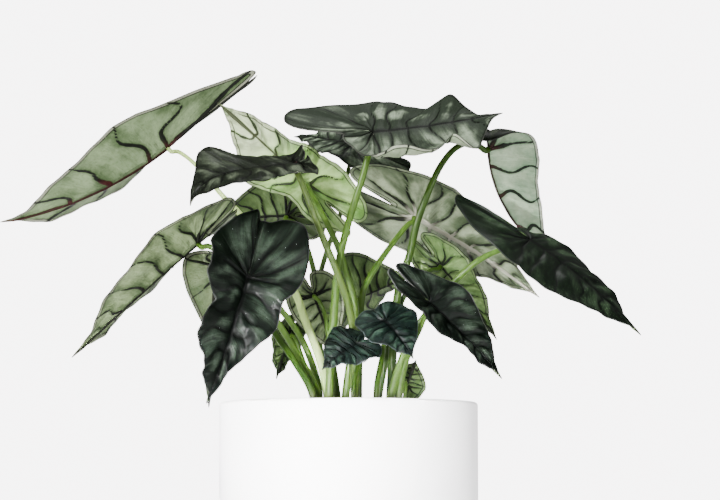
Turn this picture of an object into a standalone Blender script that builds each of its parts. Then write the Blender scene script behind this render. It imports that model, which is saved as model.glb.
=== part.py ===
"""A potted alocasia: a plain white pot, soil, and twenty leaves, each a blade on its own petiole.

Frame: +Z up, origin at the centre of the pot's base, the viewer at -Y. Leaf sizes are in millimetres.
A blade is drawn flat first. Its lines run from the midrib to the margin and are numbered by veins:
-3 is the sinus between the lobes, -2 to 5 are veins, 6 is the tip, and halves lie between two veins.
The flat blade is then bent along its midrib, folded and curled across it, quilted and waved.
"""

import math

import bmesh
import bpy
import numpy as np

MM = 0.001

POT_RADIUS = 80.0
POT_HEIGHT = 150.0
POT_WALL = 5.0
POT_FLOOR = 8.0
RIM_ROUND = 2.2
FOOT_ROUND = 3.0
POT_STEPS = 48
SOIL_TOP = 130.0
SOIL_LUMP = 1.4
SOIL_RINGS = 4
GAP = 0.3

STEM_ROOT = 116.0
STEM_STRAIGHT = 133.0
STEM_HOLE_CLEARANCE = 0.7
STEM_SPACING = 11.0
STEM_END = 2.5
HOLE_SIDES = 10

BLADE_THICKNESS = 1.6
PANEL_SHARE = 0.55
BLADE_LINES = 18
BLADE_STEPS = 6

WHITE_GLAZE = (0.86, 0.86, 0.87, 1)
SOIL_BROWN = (0.035, 0.024, 0.017, 1)
UPPER_GREEN = (0.030, 0.052, 0.038, 1)
UNDER_GREEN = (0.28, 0.36, 0.24, 1)
YOUNG_GREEN = (0.45, 0.55, 0.24, 1)
STEM_GREEN = (0.38, 0.52, 0.17, 1)

# Margin points and midrib starts of lines -3, -2.5 ... 6. Behind the petiole, lengths are shares of
# the lobe; ahead of it they are shares of the blade. Widths are shares of the half blade.
MARGIN_ALONG = (-0.5, -.90, -1, -.86, -.58, -.24, .04, .13, .22, .32, .42, .51, .60, .675, .745, .81, .87, .93, 1)
MARGIN_ACROSS = (0, .10, .36, .66, .87, .975, 1, .995, .96, .885, .785, .67, .55, .435, .325, .225, .135, .05, 0)
MIDRIB_ALONG = (0, 0, 0, 0, 0, 0, 0, .06, .12, .195, .27, .35, .43, .515, .60, .685, .77, .885, 1)

# What a leaf has unless its own entry says otherwise. Pairs are (left, right), seen from above with
# the tip ahead; angles are in degrees and lengths in millimetres.
PLAIN_LEAF = {
    "width": 30,  # of the half blade
    "lobe": 20,  # length of the lobes behind the petiole
    "lobe_share": (1, 1),  # of that length on each side
    "notch": 0.4,  # how far back the sinus starts, as a share of the lobe
    "slim": 1.0,  # under 1 narrows the middle of the blade
    "lobe_slim": 1.0,
    "nips": (),  # (side, line, spread, share) where the margin draws in, or swells below 0
    "droop": 15,  # bend of the midrib from petiole to tip
    "tip_droop": 0,  # more bend, close to the tip
    "swing": 0,  # bend of the midrib to the left
    "lobe_droop": 0,
    "fold": (5, 5),
    "lobe_fold": (0, 0),
    "tip_fold": (0, 0),
    "hem": (0, 0),  # curl of the outer blade
    "puff": 1.0,  # height of the quilted panels
    "wave": 1.5,  # height of the margin's waves
    "waves": 2.2,  # how many of them
    "lifts": (),  # (side, line, spread, height) where the margin rises
    "colour": UNDER_GREEN,
}
LEFT, RIGHT = 1, -1

# attach is where the petiole meets the blade, tip is the blade's tip, and facing is the way that the
# upper side looks. route is the petiole's, from its root in the soil; radii are at its root and top.
LEAVES = {
    "upper_left": {
        "attach": (-115, 20, 312), "tip": (-222, 30, 266), "facing": (-.33, .55, .8),
        "width": 36, "lobe": 74, "notch": .10, "slim": 1.15, "lobe_slim": .4, "droop": -38,
        "fold": (12, 40), "tip_fold": (-20, -45), "lobe_fold": (10, 10),
        "route": ((-12, 4), (-13, 3, 154), (-18, 1, 177), (-27, -2, 201), (-36, -5, 223), (-65, 0, 264),
                  (-80, 10, 281), (-96, 18, 300), (-107, 20, 309)),
        "radii": (2.9, 1.2),
    },
    "young": {
        "attach": (-26, 10, 287), "tip": (-83, 12, 340), "facing": (-.3, .8, .5),
        "width": 25, "lobe": 42, "slim": 1.2, "lobe_droop": -25,
        "nips": ((LEFT, 2.2, 1.8, .4), (RIGHT, 0, 1.3, .4), (RIGHT, 2.2, .8, -.2)),
        "fold": (28, 5), "lobe_fold": (-10, 40), "tip_fold": (-25, 0), "wave": 2.5, "waves": 4, "puff": 1.6,
        "colour": YOUNG_GREEN,
        "route": ((-3, 9), (-2, 9, 154), (4, 2, 206), (-2, -1, 231), (-6, -3, 245), (-13, -4, 260), (-22, 0, 278)),
        "radii": (2.7, 1.7),
    },
    "dark_left": {
        "attach": (-32, -32, 295), "tip": (-96, -50, 267), "facing": (-.3, -.55, .8),
        "width": 30, "lobe": 11, "slim": 1.3, "droop": 5, "tip_droop": 80, "lobe_droop": -100,
        "lifts": ((RIGHT, 2.6, 1.1, 5),),
        "nips": ((LEFT, 1.6, 1.2, -.25), (LEFT, 3.8, 1.4, -.75), (RIGHT, 3.5, 1.7, -.8)),
        "fold": (8, -10), "tip_fold": (0, 30), "colour": UPPER_GREEN,
        "route": ((4, -7), (4, -8, 154), (2, -18, 199), (-6, -26, 226), (-15, -30, 248), (-29, -32, 284)),
        "radii": (2.9, 1.8),
    },
    "top": {
        "attach": (15, -10, 318), "tip": (96, -10, 330), "facing": (.1, -.5, .85),
        "width": 46, "lobe": 55, "lobe_share": (1, .35), "notch": .3, "droop": -8, "lobe_droop": -12,
        "fold": (-3, -20), "lobe_fold": (0, 58), "hem": (0, 130),
        "lifts": ((LEFT, 3.2, .7, 9), (LEFT, -.8, 1.3, 5), (RIGHT, 3.0, .5, 8)),
        "nips": ((RIGHT, -1.6, 1.4, .6), (RIGHT, 4.1, 1.2, -.9)),
        "colour": UPPER_GREEN,
        "route": ((-12, -12), (-12, -12, 154), (-9, -14, 204), (-6, -15, 235), (0, -16, 261), (8, -13, 287),
                  (13, -11, 306)),
        "radii": (3.0, 1.9),
    },
    "front_left": {
        "attach": (-60, -70, 222), "tip": (-83, -88, 146), "facing": (.33, -.95, .1),
        "width": 36, "lobe": 46, "notch": .88, "slim": .85, "droop": 25,
        "nips": ((LEFT, -2.0, .7, -.25), (LEFT, .6, .9, .27), (LEFT, 4.0, 1.6, .42), (RIGHT, -2.2, .7, .7),
                 (RIGHT, -1.2, .8, .2), (RIGHT, .0, 1.0, .1), (RIGHT, 1.25, .5, .4), (RIGHT, 3.9, 1.3, -.3)),
        "fold": (18, 24), "lobe_fold": (0, -45), "wave": 3, "waves": 3.2, "colour": UPPER_GREEN,
        "route": ((-24, -11), (-22, -11, 154), (-34, -17, 176), (-46, -30, 193), (-56, -50, 212)),
        "radii": (2.6, 1.6),
    },
    "lower_left": {
        "attach": (-93, -22, 247), "tip": (-168, -38, 176), "facing": (-.65, .55, .6),
        "width": 34, "lobe": 34, "notch": .3, "slim": 1.25, "lobe_slim": .8, "droop": 5,
        "fold": (-6, 38), "tip_fold": (0, -20),
        "route": ((-21, -2), (-19, -3, 154), (-32, -9, 180), (-50, -16, 208), (-70, -24, 232), (-84, -27, 244)),
        "radii": (2.6, 1.6),
    },
    "rear_left": {
        "attach": (-82, -2, 235), "tip": (-86, -14, 146), "facing": (-.3, 1, .1),
        "width": 22, "lobe": 9, "notch": .3, "slim": .8, "nips": ((LEFT, 3.0, 1.5, .85),),
        "route": ((-19, 6), (-19, 7, 160), (-29, 3, 189), (-46, -2, 212), (-64, -7, 228), (-75, -8, 234)),
        "radii": (2.5, 1.5),
    },
    "inner_left": {
        "attach": (-40, 41, 271), "tip": (-88, 46, 262), "facing": (-.1, .6, .8),
        "width": 26, "lobe": 24, "notch": .3, "droop": 35, "fold": (30, 5),
        "route": ((-5, 17), (-9, 25, 168), (-17, 33, 210), (-25, 37, 245), (-34, 38, 265)),
        "radii": (2.4, 1.5),
    },
    "right_back": {
        "attach": (42, 30, 269), "tip": (122, 45, 219), "facing": (.4, .65, .6),
        "width": 34, "lobe": 52, "notch": .3,
        "route": ((7, 8), (6, 9, 160), (8, 12, 213), (13, 14, 229), (24, 19, 246), (36, 24, 262)),
        "radii": (2.7, 1.7),
    },
    "upper_right": {
        "attach": (89, 25, 312), "tip": (136, 40, 241), "facing": (.5, .75, .4),
        "width": 34, "lobe": 36, "notch": .3, "droop": -15, "lobe_droop": 130, "swing": -60,
        "fold": (60, 5), "lobe_fold": (-60, 0), "nips": ((RIGHT, 4, 1.5, -.15),),
        "route": ((26, 0), (26, 0, 154), (30, -2, 214), (38, -4, 242), (43, -4, 263), (53, -1, 289), (60, 4, 302),
                  (68, 10, 311), (78, 17, 315)),
        "radii": (2.9, 1.8),
    },
    "far_right": {
        "attach": (111, -35, 248), "tip": (177, -45, 189), "facing": (.4, -.5, .75),
        "width": 38, "lobe": 52, "notch": .3, "lobe_slim": .7,
        "nips": ((LEFT, .3, 1.2, .22), (RIGHT, 2.8, .9, -.22)),
        "fold": (-8, -4), "lobe_fold": (-40, 5), "colour": UPPER_GREEN,
        "route": ((25, -13), (26, -13, 154), (40, -14, 192), (62, -12, 220), (79, -17, 236), (95, -27, 243)),
        "radii": (2.7, 1.7),
    },
    "front_right": {
        "attach": (49, -50, 208), "tip": (92, -60, 162), "facing": (.3, -.64, .7),
        "width": 24, "lobe": 32, "notch": .3, "lobe_slim": .6, "droop": 10,
        "fold": (20, 20), "colour": UPPER_GREEN,
        "route": ((32, -23), (31, -23, 154), (36, -28, 177), (44, -40, 195)),
        "radii": (2.4, 1.5),
    },
    "small_front": {
        "attach": (22, -50, 197), "tip": (39, -60, 174), "facing": (.1, -.7, .7),
        "width": 20, "lobe": 13, "notch": .95, "droop": 25, "colour": UPPER_GREEN,
        "route": ((17, -22), (17, -22, 154), (18, -26, 164), (21, -37, 180)),
        "radii": (2.2, 1.4),
    },
    "inner_right": {
        "attach": (58, 10, 236), "tip": (93, 15, 190), "facing": (.5, .7, .4),
        "width": 18, "lobe": 24,
        "route": ((18, 7), (19, 7, 155), (26, 6, 189), (33, 4, 213), (40, 3, 223), (50, 5, 232)),
        "radii": (2.4, 1.4),
    },
    "small_dark": {
        "attach": (5, -40, 184), "tip": (-16, -50, 168), "facing": (-.2, -.75, .6),
        "width": 19, "lobe": 10, "notch": .5, "droop": 25, "colour": UPPER_GREEN,
        "route": ((4, -24), (3, -24, 157), (6, -34, 174)),
        "radii": (2.0, 1.3),
    },
    "rim_right": {
        "attach": (36, 7, 161), "tip": (42, 10, 177), "facing": (.2, .9, -.2),
        "width": 12, "lobe": 11, "notch": .5,
        "route": ((33, 1), (33, 0, 146), (35, -1, 155)),
        "radii": (1.6, 1.1),
    },
    "small_back": {
        "attach": (-22, 20, 218), "tip": (-8, 25, 180), "facing": (-.1, 1, .3),
        "width": 18, "lobe": 15,
        "route": ((-12, 14), (-11, 13, 160), (-14, 12, 200), (-18, 15, 213)),
        "radii": (1.9, 1.2),
    },
    "centre_back": {
        "attach": (5, 35, 217), "tip": (39, 50, 233), "facing": (0, .9, .3),
        "width": 30, "lobe": 11, "fold": (50, 5),
        "route": ((3, 24), (3, 24, 160), (3, 28, 200), (4, 31, 211)),
        "radii": (2.1, 1.3),
    },
    "rim_left": {
        "attach": (-37, 30, 194), "tip": (-46, 30, 166), "facing": (-.5, .7, .3),
        "width": 12, "lobe": 12,
        "route": ((-21, 14), (-22, 15, 155), (-31, 22, 184)),
        "radii": (1.8, 1.2),
    },
    "top_back": {
        "attach": (4, 42, 317), "tip": (-36, 60, 325), "facing": (0, -.55, .8),
        "width": 24, "lobe": 42, "notch": .3, "droop": 10, "lobe_fold": (-45, 0), "colour": UPPER_GREEN,
        "route": ((-8, 32), (-12, 36, 160), (-20, 42, 195), (-20, 46, 225), (-14, 50, 250), (-6, 52, 272),
                  (-3, 50, 290), (1, 45, 307)),
        "radii": (2.2, 1.3),
    },
}


def clear_scene():
    for old in list(bpy.data.objects):
        bpy.data.objects.remove(old, do_unlink=True)


def make_material(name, colour, roughness):
    material = bpy.data.materials.new(name)
    material.use_nodes = True
    shader = material.node_tree.nodes["Principled BSDF"]
    shader.inputs["Base Color"].default_value = colour
    shader.inputs["Roughness"].default_value = roughness
    shader.inputs["Metallic"].default_value = 0.0
    return material


def add_object(name, data, material):
    made = bpy.data.objects.new(name, data)
    made.data.materials.append(material)
    bpy.context.collection.objects.link(made)
    return made


def finish_mesh(work, name, material):
    mesh = bpy.data.meshes.new(name)
    work.to_mesh(mesh)
    work.free()
    mesh.shade_smooth()
    return add_object(name, mesh, material)


def unit(vector):
    return vector / np.linalg.norm(vector)


def read_line(values, line):
    """Reads one value per half line as a smooth curve."""
    values = np.asarray(values, float)
    place = (np.asarray(line, float) + 3) * 2
    index = np.clip(np.floor(place).astype(int), 0, len(values) - 2)
    t = place - index
    padded = np.concatenate([[2 * values[0] - values[1]], values, [2 * values[-1] - values[-2]]])
    a, b, c, d = (padded[index + k] for k in range(4))
    return 0.5 * (2 * b + (c - a) * t + (2 * a - 5 * b + 4 * c - d) * t**2 + (3 * b - a - 3 * c + d) * t**3)


def bell(line, centre, spread):
    return np.exp(-(((line - centre) / spread) ** 2))


class Blade:
    """One bent leaf blade; point(line, across, side) gives its places in millimetres."""

    def __init__(self, leaf):
        self.leaf = leaf
        chord = np.subtract(leaf["tip"], leaf["attach"]).astype(float)
        self.bend_midrib(1.0, 1.0)
        reach = np.linalg.norm(self.frame_at(np.array([1.0]))[0][0])
        self.bend_midrib(np.linalg.norm(chord) / reach, leaf["lobe"])
        self.turn_to(unit(chord))
        self.curl_sections()

    def bend_midrib(self, length, lobe):
        leaf = self.leaf
        self.length = length
        self.lobe = lobe
        behind = np.linspace(-lobe * 1.05, 0, 30)
        self.along = np.concatenate([behind[:-1], np.linspace(0, length, 60)])
        ahead = np.clip(self.along / length, 0, None)
        back = np.clip(-self.along / lobe, 0, None)
        bend = leaf["droop"] * ahead + leaf["tip_droop"] * ahead**4 - leaf["lobe_droop"] * back
        self.pitch = np.radians(bend)
        self.yaw = np.radians(leaf["swing"] * ahead)
        level = np.cos(self.pitch)
        run = np.stack([level * np.cos(self.yaw), level * np.sin(self.yaw), -np.sin(self.pitch)], 1)
        steps = np.diff(self.along)[:, None] * (run[1:] + run[:-1]) / 2
        places = np.concatenate([np.zeros((1, 3)), np.cumsum(steps, 0)])
        self.midrib = places - places[len(behind) - 1]

    def frame_at(self, along):
        """The midrib's place, and which way is left and up there."""
        place = np.stack([np.interp(along, self.along, self.midrib[:, k]) for k in range(3)], -1)
        pitch = np.interp(along, self.along, self.pitch)
        yaw = np.interp(along, self.along, self.yaw)
        left = np.stack([-np.sin(yaw), np.cos(yaw), 0 * yaw], -1)
        up = np.stack([np.sin(pitch) * np.cos(yaw), np.sin(pitch) * np.sin(yaw), np.cos(pitch)], -1)
        return place, left, up

    def turn_to(self, chord):
        """Finds the turn that lays the bent midrib from attach to tip with its upper side facing right."""
        own_chord = unit(self.frame_at(np.array([self.length]))[0][0])
        own_up = np.array([0.0, 0.0, 1.0])
        own_up = unit(own_up - own_up @ own_chord * own_chord)
        up = np.array(self.leaf["facing"], float)
        up = unit(up - up @ chord * chord)
        own = np.stack([own_chord, np.cross(own_up, own_chord), own_up], 1)
        wanted = np.stack([chord, np.cross(up, chord), up], 1)
        self.turn = wanted @ own.T

    def curl_sections(self):
        """Works out, for each side, how far a curled section reaches across and up."""
        self.width_share = np.linspace(0, 1.1, 45)
        self.sections = {}
        for side, hem in zip((LEFT, RIGHT), self.leaf["hem"]):
            curl = np.radians(hem) * np.clip((self.width_share - 0.4) / 0.6, 0, None) ** 1.2
            step = np.diff(self.width_share)
            reach = np.cumsum(step * (np.cos(curl)[1:] + np.cos(curl)[:-1]) / 2)
            rise = np.cumsum(step * (np.sin(curl)[1:] + np.sin(curl)[:-1]) / 2)
            self.sections[side] = (curl, np.append(0, reach), np.append(0, rise))

    def flat_place(self, line, across, side):
        leaf = self.leaf
        margin_along = (-leaf["notch"],) + MARGIN_ALONG[1:]
        along = read_line(margin_along, line)
        aside = np.clip(read_line(MARGIN_ACROSS, line), 0, None)
        middle = np.sin(np.clip(line / 6, 0, 1) * np.pi)
        aside = aside * (1 - (1 - leaf["slim"]) * middle)
        aside = aside * (1 - (1 - leaf["lobe_slim"]) * np.clip(-line / 1.5, 0, 1))
        for nip_side, centre, spread, share in leaf["nips"]:
            if nip_side == side:
                aside = aside * (1 - share * bell(line, centre, spread))
        shorter = 1 - leaf["lobe_share"][0 if side == LEFT else 1]
        lobe = leaf["lobe"] * (1 - shorter * np.clip(2 * line + 6, 0, 1))
        along = np.where(along < 0, along * lobe, along * self.length)
        aside = aside * leaf["width"]
        start = np.where(line <= 0, 0, read_line(MIDRIB_ALONG, line)) * self.length
        bow = start + 0.25 * (along - start)
        rest = 1 - across
        x = rest**2 * start + 2 * across * rest * bow + across**2 * along
        y = 2 * across * rest * 0.55 * aside + across**2 * aside
        return x, y

    def relief(self, line, across, side):
        """Height of the quilting between veins, the margin's waves and any lifted place."""
        leaf = self.leaf
        fade = np.clip((6 - line) / 2, 0, 1)
        height = leaf["puff"] * np.sin(np.pi * line) ** 2 * np.sin(np.pi * across**0.8) * fade
        turns = 2 * np.pi * leaf["waves"] * line / 6 + (0 if side == LEFT else 1.3)
        edge = across**2.5 * np.clip((6 - line) / 1.5, 0, 1) * np.clip(line + 3, 0, 1)
        height = height + leaf["wave"] * np.sin(turns) * edge
        for lift_side, centre, spread, lift in leaf["lifts"]:
            if lift_side == side:
                height = height + lift * bell(line, centre, spread) * across**2
        return height

    def point(self, line, across, side):
        leaf = self.leaf
        line, across = np.broadcast_arrays(np.asarray(line, float), np.asarray(across, float))
        x, y = self.flat_place(line, across, side)
        place, left, up = self.frame_at(x)
        pick = 0 if side == LEFT else 1
        fold = leaf["fold"][pick] + leaf["lobe_fold"][pick] * np.clip(-x / leaf["lobe"], 0, 1)
        fold = np.radians(fold + leaf["tip_fold"][pick] * np.clip(x / self.length, 0, 1) ** 2)
        curl, reach, rise = (np.interp(y / leaf["width"], self.width_share, v) for v in self.sections[side])
        aside = leaf["width"] * (np.cos(fold) * reach - np.sin(fold) * rise)
        above = leaf["width"] * (np.sin(fold) * reach + np.cos(fold) * rise)
        tilt = fold + curl
        height = self.relief(line, across, side)
        aside = aside - height * np.sin(tilt)
        above = above + height * np.cos(tilt)
        out = place + above[..., None] * up + side * aside[..., None] * left
        return np.array(leaf["attach"]) + out @ self.turn.T


def make_blade(name, leaf, material):
    blade = Blade(leaf)
    work = bmesh.new()
    bmesh.ops.create_grid(work, x_segments=BLADE_LINES, y_segments=BLADE_STEPS, size=1)
    weight = work.verts.layers.deform.verify()
    for vert in work.verts:
        line = round(4.5 * (vert.co.x + 1) - 3, 3)
        across = round(abs(vert.co.y), 3) ** 0.92
        side = LEFT if vert.co.y > 0 else RIGHT
        on_rib = across == 0 or line == round(line)
        vert.co = blade.point(line, across, side) * MM
        vert[weight][0] = 1.0 if on_rib else PANEL_SHARE
    bmesh.ops.remove_doubles(work, verts=work.verts, dist=0.02 * MM)
    bmesh.ops.triangulate(work, faces=work.faces, quad_method="SHORT_EDGE")
    bmesh.ops.recalc_face_normals(work, faces=work.faces)
    work.normal_update()
    # The grid's upper side has to look the way the leaf faces.
    up = blade.turn @ np.array([0.0, 0.0, 1.0])
    outward = sum(float(np.dot(face.normal, up)) * face.calc_area() for face in work.faces)
    if outward < 0:
        bmesh.ops.reverse_faces(work, faces=work.faces)
    made = finish_mesh(work, "blade_" + name, material)
    made.vertex_groups.new(name="ribs")
    wall = made.modifiers.new("Thickness", "SOLIDIFY")
    wall.thickness = BLADE_THICKNESS * MM
    wall.offset = -1
    wall.vertex_group = "ribs"
    return blade


def smooth_route(points, steps):
    """Runs a smooth curve through the points, with the same number of steps between each two."""
    points = np.asarray(points, float)
    padded = np.concatenate([[2 * points[0] - points[1]], points, [2 * points[-1] - points[-2]]])
    run = []
    for index in range(len(points) - 1):
        a, b, c, d = padded[index:index + 4]
        for t in np.arange(steps) / steps:
            run.append(0.5 * (2 * b + (c - a) * t + (2 * a - 5 * b + 4 * c - d) * t**2
                              + (3 * b - a - 3 * c + d) * t**3))
    run.append(points[-1])
    return np.array(run)


def petiole_run(leaf, blade):
    """The petiole stands straight in the soil and ends just under the blade, square to it."""
    x, y = leaf["route"][0]
    sag = max(0, -min(leaf["fold"]))
    room = BLADE_THICKNESS + 1.2 * GAP + leaf["radii"][1] * math.sin(math.radians(sag))
    under = blade.turn @ np.array([0.0, 0.0, -1.0])
    top = np.array(leaf["attach"]) + room * under
    start = [(x, y, STEM_ROOT), (x, y, STEM_STRAIGHT)]
    route = start + list(leaf["route"][1:]) + [tuple(top + STEM_END * under)]
    run = thin_out(smooth_route(route, 12), STEM_SPACING)
    return np.concatenate([run, [top]])


def thin_out(run, spacing):
    """Keeps the ends and those points that are at least the spacing apart."""
    kept = [run[0]]
    for point in run[1:-1]:
        if np.linalg.norm(point - kept[-1]) >= spacing and np.linalg.norm(run[-1] - point) > spacing / 3:
            kept.append(point)
    return np.array(kept + [run[-1]])


def make_petiole(name, leaf, blade, material):
    run = petiole_run(leaf, blade)
    curve = bpy.data.curves.new("petiole_" + name, "CURVE")
    curve.dimensions = "3D"
    curve.twist_mode = "MINIMUM"
    curve.bevel_depth = MM
    curve.bevel_resolution = 1
    curve.use_fill_caps = True
    spline = curve.splines.new("POLY")
    spline.points.add(len(run) - 1)
    length = np.append(0, np.cumsum(np.linalg.norm(np.diff(run, axis=0), axis=1)))
    root, top = leaf["radii"]
    radii = np.interp(length / length[-1], (0, 0.35, 1), (root, root * 0.85, top))
    for point, place, radius in zip(spline.points, run, radii):
        point.co = (*(place * MM), 1)
        point.radius = radius
    return add_object("petiole_" + name, curve, material)


def spin_profile(profile, steps):
    """Turns a profile of (radius, height) in millimetres round the Z axis."""
    work = bmesh.new()
    verts = [work.verts.new((radius * MM, 0, height * MM)) for radius, height in profile]
    edges = [work.edges.new(pair) for pair in zip(verts, verts[1:])]
    bmesh.ops.spin(work, geom=verts + edges, axis=(0, 0, 1), cent=(0, 0, 0), angle=math.tau,
                   steps=steps, use_merge=True)
    bmesh.ops.remove_doubles(work, verts=work.verts, dist=0.01 * MM)
    bmesh.ops.recalc_face_normals(work, faces=work.faces)
    return work


def arc(centre, radius, start, end, steps):
    angles = np.radians(np.linspace(start, end, steps + 1))
    return [(centre[0] + radius * math.cos(a), centre[1] + radius * math.sin(a)) for a in angles]


def make_pot():
    inner = POT_RADIUS - POT_WALL
    round_out = arc((POT_RADIUS - RIM_ROUND, POT_HEIGHT - RIM_ROUND), RIM_ROUND, 0, 90, 3)
    round_in = arc((inner + RIM_ROUND, POT_HEIGHT - RIM_ROUND), RIM_ROUND, 90, 180, 3)
    foot = arc((POT_RADIUS - FOOT_ROUND, FOOT_ROUND), FOOT_ROUND, 270, 360, 2)
    profile = [(0, 0)] + foot + round_out + round_in + [(inner, POT_FLOOR), (0, POT_FLOOR)]
    work = spin_profile(profile, POT_STEPS)
    pot = finish_mesh(work, "pot", make_material("white_glaze", WHITE_GLAZE, 0.5))
    pot.data.set_sharp_from_angle(angle=math.radians(40))
    return pot


def soil_height(x, y):
    """Lumpy soil, a little higher round the stems."""
    lumps = math.sin(x / 5.1) * math.cos(y / 6.3) + 0.6 * math.sin((x + y) / 3.7 + 1)
    mound = 2.5 * math.exp(-(x * x + y * y) / 45**2)
    return SOIL_TOP + SOIL_LUMP * lumps * 0.5 + mound - 1.5


def make_soil():
    radius = POT_RADIUS - POT_WALL - GAP
    floor = POT_FLOOR + GAP
    rings = [(radius * k / SOIL_RINGS, SOIL_TOP) for k in range(SOIL_RINGS + 1)]
    work = spin_profile(rings + [(radius, floor), (0, floor)], POT_STEPS)
    for vert in work.verts:
        if vert.co.z > floor * MM * 2:
            vert.co.z = soil_height(vert.co.x / MM, vert.co.y / MM) * MM
    bmesh.ops.triangulate(work, faces=work.faces)
    return finish_mesh(work, "soil", make_material("soil_brown", SOIL_BROWN, 0.95))


def make_stem_holes(soil):
    """Plain round holes, open at the top, that the petioles stand in."""
    work = bmesh.new()
    bottom = STEM_ROOT - GAP
    depth = SOIL_TOP + 10 - bottom
    for leaf in LEAVES.values():
        x, y = leaf["route"][0]
        made = bmesh.ops.create_cone(work, cap_ends=True, segments=HOLE_SIDES, depth=depth * MM,
                                     radius1=(leaf["radii"][0] + STEM_HOLE_CLEARANCE) * MM,
                                     radius2=(leaf["radii"][0] + STEM_HOLE_CLEARANCE) * MM)
        bmesh.ops.translate(work, verts=made["verts"], vec=(x * MM, y * MM, (bottom + depth / 2) * MM))
    holes = finish_mesh(work, "stem_holes", make_material("hole", SOIL_BROWN, 1.0))
    holes.hide_render = True
    holes.display_type = "WIRE"
    cut = soil.modifiers.new("Stem holes", "BOOLEAN")
    cut.operation = "DIFFERENCE"
    cut.solver = "EXACT"
    cut.object = holes


def make_leaves():
    stem_material = make_material("stem_green", STEM_GREEN, 0.5)
    for name, changes in LEAVES.items():
        leaf = {**PLAIN_LEAF, **changes}
        blade = make_blade(name, leaf, make_material("blade_" + name, leaf["colour"], 0.45))
        make_petiole(name, leaf, blade, stem_material)


clear_scene()
make_pot()
make_stem_holes(make_soil())
make_leaves()
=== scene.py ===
import math

import bmesh
import bpy
import numpy as np
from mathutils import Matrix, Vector, noise


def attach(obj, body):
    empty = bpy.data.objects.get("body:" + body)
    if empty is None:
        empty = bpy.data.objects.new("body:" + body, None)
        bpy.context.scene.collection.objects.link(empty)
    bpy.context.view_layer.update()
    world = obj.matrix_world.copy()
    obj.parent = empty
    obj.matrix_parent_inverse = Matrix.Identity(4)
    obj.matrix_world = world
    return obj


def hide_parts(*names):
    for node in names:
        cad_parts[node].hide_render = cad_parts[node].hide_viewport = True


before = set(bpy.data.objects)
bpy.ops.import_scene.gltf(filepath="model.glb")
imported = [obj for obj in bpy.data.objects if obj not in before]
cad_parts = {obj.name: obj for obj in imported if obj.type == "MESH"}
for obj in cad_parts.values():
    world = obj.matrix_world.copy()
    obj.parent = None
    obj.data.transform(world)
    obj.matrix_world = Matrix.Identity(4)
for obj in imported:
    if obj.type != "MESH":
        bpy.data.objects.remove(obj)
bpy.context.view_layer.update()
mm = 0.001
leftSide, rightSide = 1, -1  # seen from above, with the tip ahead


# Materials

# Builds one material's nodes. A value is a socket, a plain number, a colour or a scale.
class Paint:
    def __init__(self, name):
        self.material = bpy.data.materials.new(name)
        self.material.use_nodes = True
        self.tree = self.material.node_tree
        self.shader = self.tree.nodes["Principled BSDF"]

    def put(self, socket, value):
        if isinstance(value, bpy.types.NodeSocket):
            self.tree.links.new(value, socket)
        elif hasattr(value, "__len__") and len(value) == 3 and socket.type == "RGBA":
            socket.default_value = (*value, 1)
        else:
            socket.default_value = value

    def node(self, kind, **values):
        made = self.tree.nodes.new("ShaderNode" + kind)
        for name, value in values.items():
            self.put(made.inputs[name], value)
        return made

    def attribute(self, name):
        made = self.node("Attribute")
        made.attribute_name = name
        return made.outputs["Fac"]

    def uvPlace(self, name):
        made = self.node("UVMap")
        made.uv_map = name
        return made.outputs["UV"]

    def objectPlace(self):
        return self.node("TexCoord").outputs["Object"]

    def stretch(self, place, scale):
        return self.node("Mapping", Vector=place, Scale=scale).outputs["Vector"]

    def part(self, place, axis):
        return self.node("SeparateXYZ", Vector=place).outputs[axis]

    def calc(self, operation, first, second=0.0):
        made = self.node("Math")
        made.operation = operation
        self.put(made.inputs[0], first)
        self.put(made.inputs[1], second)
        return made.outputs[0]

    def plus(self, first, second):
        return self.calc("ADD", first, second)

    def times(self, first, second):
        return self.calc("MULTIPLY", first, second)

    def smooth(self, value, low, high, atLow=0.0, atHigh=1.0):
        limits = {"From Min": low, "From Max": high, "To Min": atLow, "To Max": atHigh}
        made = self.node("MapRange", Value=value, **limits)
        made.interpolation_type = "SMOOTHSTEP"
        return made.outputs["Result"]

    def mix(self, first, second, share):
        made = self.node("Mix")
        made.data_type = "RGBA"
        # In a colour mix, inputs 6 and 7 are the colours and output 2 is the result.
        self.put(made.inputs[0], share)
        self.put(made.inputs[6], first)
        self.put(made.inputs[7], second)
        return made.outputs[2]

    def grain(self, place, scale, detail=4.0, rough=0.55, distortion=0.0):
        made = self.node("TexNoise", Vector=place, Scale=scale, Detail=detail, Roughness=rough,
                         Distortion=distortion)
        return made.outputs["Fac"]

    def cells(self, place, scale):
        return self.node("TexVoronoi", Vector=place, Scale=scale).outputs["Distance"]

    def bump(self, height, strength, distance, normal=None):
        made = self.node("Bump", Height=height, Strength=strength, Distance=distance)
        if normal is not None:
            self.put(made.inputs["Normal"], normal)
        return made.outputs["Normal"]

    def finish(self, colour, roughness, normal=None, **constants):
        self.put(self.shader.inputs["Base Color"], colour)
        self.put(self.shader.inputs["Roughness"], roughness)
        if normal is not None:
            self.put(self.shader.inputs["Normal"], normal)
        for name, value in constants.items():
            self.shader.inputs[name.replace("_", " ")].default_value = value
        return self.material


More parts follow.
